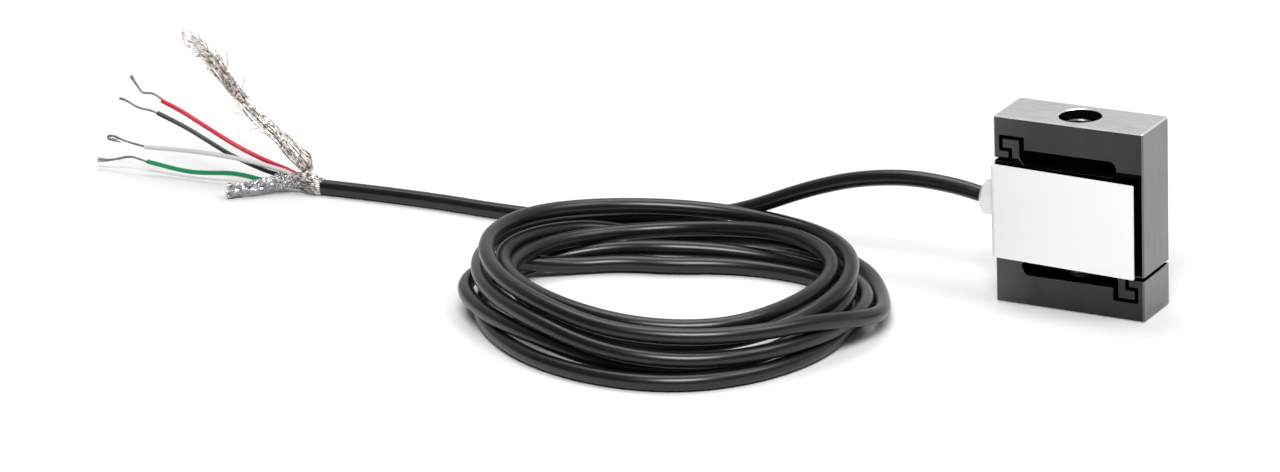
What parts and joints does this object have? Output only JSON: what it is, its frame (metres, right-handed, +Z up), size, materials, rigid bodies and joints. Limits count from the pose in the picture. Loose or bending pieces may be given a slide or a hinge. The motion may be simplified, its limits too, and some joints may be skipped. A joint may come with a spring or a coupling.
{
  "type": "s type load cell",
  "caption": "S-shaped tension and compression load cell with threaded ends, overload-stop slots, folded side cover, gland and a coiled shielded cable with stripped cores",
  "frame": {"origin": "centre of the lower face of the S-shaped spring element, on the load line, where it rests", "axes": "+Z up along the load line through both threaded holes, +Y through the thickness of the block towards its rear face, +X across the block away from the cable side"},
  "size_m": [0.3968, 0.1458, 0.062],
  "materials": {
    "blackened_steel": "dark glossy oxide or black nickel over ground alloy steel",
    "satin_sheet": "bright satin sheet, bare of any marking",
    "sealant": "black silicone sealant and seals",
    "gauge_film": "amber polyimide gauge backing",
    "board": "green solder mask",
    "chip": "black chip body",
    "wire_lacquer": "lacquered copper wire",
    "nickel": "nickel-plated brass",
    "jacket": "black flexible cable jacket",
    "red_insulation": "red core insulation",
    "black_insulation": "black core insulation",
    "white_insulation": "white core insulation",
    "green_insulation": "green core insulation",
    "tinned_copper": "tinned copper strands",
    "foil": "crumpled aluminium foil tape"
  },
  "bodies": {
    "root": {"spring_element": "blackened_steel", "cover": "satin_sheet", "front_cover_seal": "sealant", "rear_cover_seal": "sealant", "front_potting": "sealant", "rear_potting": "sealant", "gauge_upper_left": "gauge_film", "gauge_upper_right": "gauge_film", "gauge_lower_left": "gauge_film", "gauge_lower_right": "gauge_film", "terminal_board": "board", "compensation_resistor": "chip", "gauge_wiring": "wire_lacquer", "gland_body": "nickel", "gland_washer": "sealant", "gland_seal": "sealant", "cable_lead": "jacket", "cable_coil": "jacket", "cable_tail": "jacket", "inner_core_red": "red_insulation", "inner_core_black": "black_insulation", "inner_core_white": "white_insulation", "inner_core_green": "green_insulation", "core_red": "red_insulation", "core_black": "black_insulation", "core_white": "white_insulation", "core_green": "green_insulation", "strands_red": "tinned_copper", "strands_black": "tinned_copper", "strands_white": "tinned_copper", "strands_green": "tinned_copper", "braid_shield": "tinned_copper", "foil_shield": "foil"}
  },
  "joints": []
}
